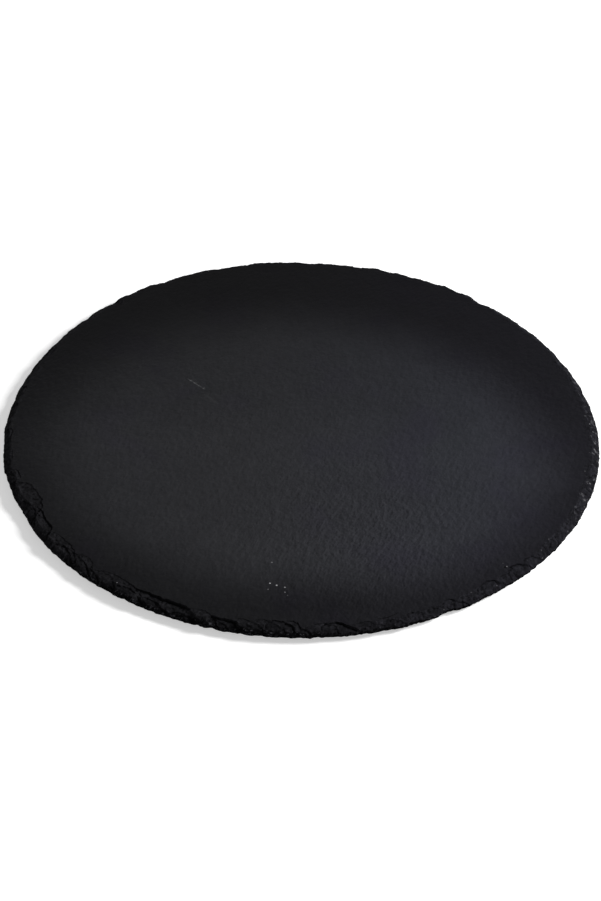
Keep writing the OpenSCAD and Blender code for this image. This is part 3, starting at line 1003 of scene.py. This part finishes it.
    def relief(self):
        """Leathery grain on the split faces, grit on broken stone, and the cut marks."""
        away = self.vector("DISTANCE", self.plan, at_mm(*DEEPEST_MM))
        deepest = self.fade(away, DEEPEST_R, 0.0, 0.0, DEEPEST_SHARE)
        depth = self.math("ADD", self.fade(self.y, *LEATHER_FADE, *LEATHER_SHARES), deepest)
        depth = self.times(depth, LEATHER_DEPTH)
        normal = self.bump(self.linear(self.grain, 0.05, self.leather), depth)
        normal = self.bump(self.times(self.grit, self.chip), GRIT_DEPTH, 0.9, normal)
        uncut = self.math("SUBTRACT", 1.0, self.math("MAXIMUM", self.dark, self.scratch))
        return self.bump(uncut, CUT_DEPTH, 0.8, normal)


def slate_material():
    material = bpy.data.materials.new("slate")
    n = SlateNodes(material)
    stone = n.mix(n.chip, n.face_colour(), n.broken_colour())
    tone = n.mix(n.chip, n.face_tone(), n.broken_tone())
    stone = n.marked(n.mix(1.0, stone, tone, "MULTIPLY"))
    n.shade(stone, n.roughness(), n.relief(), n.shine())
    return material


# Black rubber, with grey dust low down, and the heights where that ends and is full
RUBBER = (0.012, 0.012, 0.013, 1)
DUST = (0.060, 0.058, 0.055, 1)
DUST_FADE = (0.7 * MM, 0.1 * MM)


def rubber_material():
    material = bpy.data.materials.new("rubber")
    n = Nodes(material)
    _, _, z = n.split(n.place)
    pebble = n.noise(2600, 2, 0.55)
    smear = n.noise(420, 3, 0.6)
    low = n.fade(z, *DUST_FADE)
    dust = n.times(n.linear(low, 0.3, 0.08), n.fade(smear, 0.42, 0.74))
    rough = n.linear(smear, 0.2, 0.62)
    n.shade(n.mix(dust, RUBBER, DUST), rough, n.bump(pebble, 0.05 * MM), 0.3)
    return material


# Adhesive film, yellowed a little in patches and dusty at its bare edge
FILM = (0.62, 0.58, 0.48, 1)
YELLOWED = (0.50, 0.43, 0.29, 1)
GRUBBY = (0.16, 0.15, 0.13, 1)


def film_material():
    material = bpy.data.materials.new("adhesive film")
    n = Nodes(material)
    patch = n.noise(260, 3, 0.6)
    speck = n.noise(1900, 2, 0.6)
    colour = n.mix(n.fade(patch, 0.4, 0.65, 0.0, 0.7), FILM, YELLOWED)
    colour = n.mix(n.fade(speck, 0.52, 0.68, 0.0, 0.6), colour, GRUBBY)
    n.shade(colour, n.linear(patch, 0.3, 0.32), n.bump(speck, 0.03 * MM))
    return material


# Sides of a foot pad, its rounded lower edge, its bevelled upper one, and how far its side draws in
FOOT_SIDES = 96
FOOT_EDGE_R = 0.4 * MM
FOOT_BEVEL = 0.12 * MM
FOOT_WAIST = 0.07 * MM


def foot_section(radius, height):
    """Radii and heights from near the middle of the underside, up the side, to the top."""
    points = [(radius * share, 0.0) for share in (0.25, 0.5, 0.75)]
    for angle in range(0, 91, 15):
        a = math.radians(angle)
        points.append((radius - FOOT_EDGE_R * (1 - math.sin(a)), FOOT_EDGE_R * (1 - math.cos(a))))
    side = height - FOOT_EDGE_R - FOOT_BEVEL
    for share in (0.2, 0.4, 0.6, 0.8):
        points.append((radius - FOOT_WAIST * math.sin(math.pi * share), FOOT_EDGE_R + side * share))
    points += [(radius, height - FOOT_BEVEL), (radius - FOOT_BEVEL, height)]
    return points + [(radius * share, height) for share in (0.7, 0.35)]


def make_foot(node, material):
    low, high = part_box(node)
    middle = (low + high) / 2
    builder = Builder()
    b = 360 * np.arange(FOOT_SIDES) / FOOT_SIDES
    rings = []
    for r, z in foot_section((high.x - low.x) / 2, high.z - low.z):
        x, y = on_bearing(b, r)
        rings.append(builder.ring(middle.x + x, middle.y + y, low.z + z))
    for lower, upper in zip(rings[:-1], rings[1:]):
        builder.join(lower, upper, TOP)
    builder.close(rings[0], [middle.x], [middle.y], low.z, UNDER)
    builder.close(rings[-1], [middle.x], [middle.y], high.z, TOP)
    foot = new_object("rubber_" + node, builder.mesh(node, material))
    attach(foot, ROOT)
    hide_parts(node)


# The camera, as the photograph was taken
CAMERA_AWAY = 1.0
CAMERA_ELEVATION = 39.1
CAMERA_ROLL = 0.79
CAMERA_LENS = 79.9
CAMERA_SENSOR = 36
CAMERA_TARGET = Vector((-0.5 * MM, -18.2 * MM, SLAB_Z + SLATE_T / 2))


def make_camera():
    data = bpy.data.cameras.new("camera")
    data.lens = CAMERA_LENS
    data.sensor_width = CAMERA_SENSOR
    camera = new_object("camera", data)
    e = math.radians(CAMERA_ELEVATION)
    back = Vector((0, -math.cos(e), math.sin(e)))
    turned = (-back).to_track_quat("-Z", "Y").to_matrix().to_4x4()
    roll = Matrix.Rotation(math.radians(CAMERA_ROLL), 4, "Z")
    camera.matrix_world = Matrix.Translation(CAMERA_TARGET + back * CAMERA_AWAY) @ turned @ roll
    bpy.context.scene.camera = camera


def seen_directly(n):
    """1 for camera, glossy and transmission rays, and 0 for the rays that light the object."""
    path = n.add("ShaderNodeLightPath")
    seen = n.math("ADD", path.outputs["Is Camera Ray"], path.outputs["Is Glossy Ray"], clamp=True)
    return n.math("ADD", seen, path.outputs["Is Transmission Ray"], clamp=True)


# The floor, and what it adds to its own lit colour where it is seen, so that it reads as white:
# near the board, where the shadow falls, and far away, where the key light doesn't reach
FLOOR = (0.8, 0.8, 0.8, 1)
FLOOR_HALF = 14
FLOOR_NEAR, NEAR_LIFT = 0.25, 0.5
FLOOR_FAR, FAR_LIFT = 1.5, 0.9


def floor_material():
    material = bpy.data.materials.new("floor")
    n = Nodes(material)
    n.tree.nodes.remove(n.tree.nodes["Principled BSDF"])
    diffuse = n.add("ShaderNodeBsdfDiffuse")
    n.put(FLOOR, diffuse.inputs["Color"])
    lift = n.add("ShaderNodeEmission")
    away = n.vector("DISTANCE", n.place, (0, 0, 0))
    level = n.fade(away, FLOOR_NEAR, FLOOR_FAR, NEAR_LIFT, FAR_LIFT)
    n.put(n.times(seen_directly(n), level), lift.inputs["Strength"])
    both = n.add("ShaderNodeAddShader")
    n.put(diffuse.outputs[0], both.inputs[0])
    n.put(lift.outputs[0], both.inputs[1])
    n.put(both.outputs[0], n.tree.nodes["Material Output"].inputs["Surface"])
    return material


def make_floor():
    mesh = bpy.data.meshes.new("floor")
    corners = [(x * FLOOR_HALF, y * FLOOR_HALF, 0) for x, y in ((-1, -1), (1, -1), (1, 1), (-1, 1))]
    mesh.from_pydata(corners, [], [(0, 1, 2, 3)])
    mesh.materials.append(floor_material())
    new_object("floor", mesh)


# The studio: dim all round, with a white band near the horizon where it is seen, which ends and is
# full at these shares of the way up
WORLD_LEVEL = 0.16
BAND_FADE = (0.42, 0.252)


def make_world():
    world = bpy.data.worlds.new("studio")
    bpy.context.scene.world = world
    n = Nodes(world)
    background = n.tree.nodes["Background"]
    _, _, up = n.split(n.coordinates["Generated"])
    lit = n.times(n.fade(up, *BAND_FADE), seen_directly(n))
    n.put((1, 1, 1, 1), background.inputs["Color"])
    n.put(n.linear(lit, 1 - WORLD_LEVEL, WORLD_LEVEL), background.inputs["Strength"])


# The key light, low at the right
KEY_BEARING = 2
KEY_ELEVATION = 35
KEY_AWAY = 1.5
KEY_SIZE = 0.5
KEY_POWER = 33


def make_key_light():
    data = bpy.data.lights.new("key", "AREA")
    data.shape = "SQUARE"
    data.size = KEY_SIZE
    data.energy = KEY_POWER
    lamp = new_object("key", data)
    x, y = on_bearing(KEY_BEARING, math.cos(math.radians(KEY_ELEVATION)))
    out = Vector((x, y, math.sin(math.radians(KEY_ELEVATION))))
    lamp.location = out * KEY_AWAY
    lamp.rotation_mode = "QUATERNION"
    lamp.rotation_quaternion = (-out).to_track_quat("-Z", "Y")


bpy.context.scene.view_settings.view_transform = "Standard"
make_camera()
make_floor()
make_world()
make_key_light()

make_slab(slate_material())
rubber = rubber_material()
for name in FOOT_NODES:
    make_foot(name, rubber)
film = film_material()
for name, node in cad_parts.items():
    if name.startswith("adhesive_"):
        node.material_slots[0].material = film
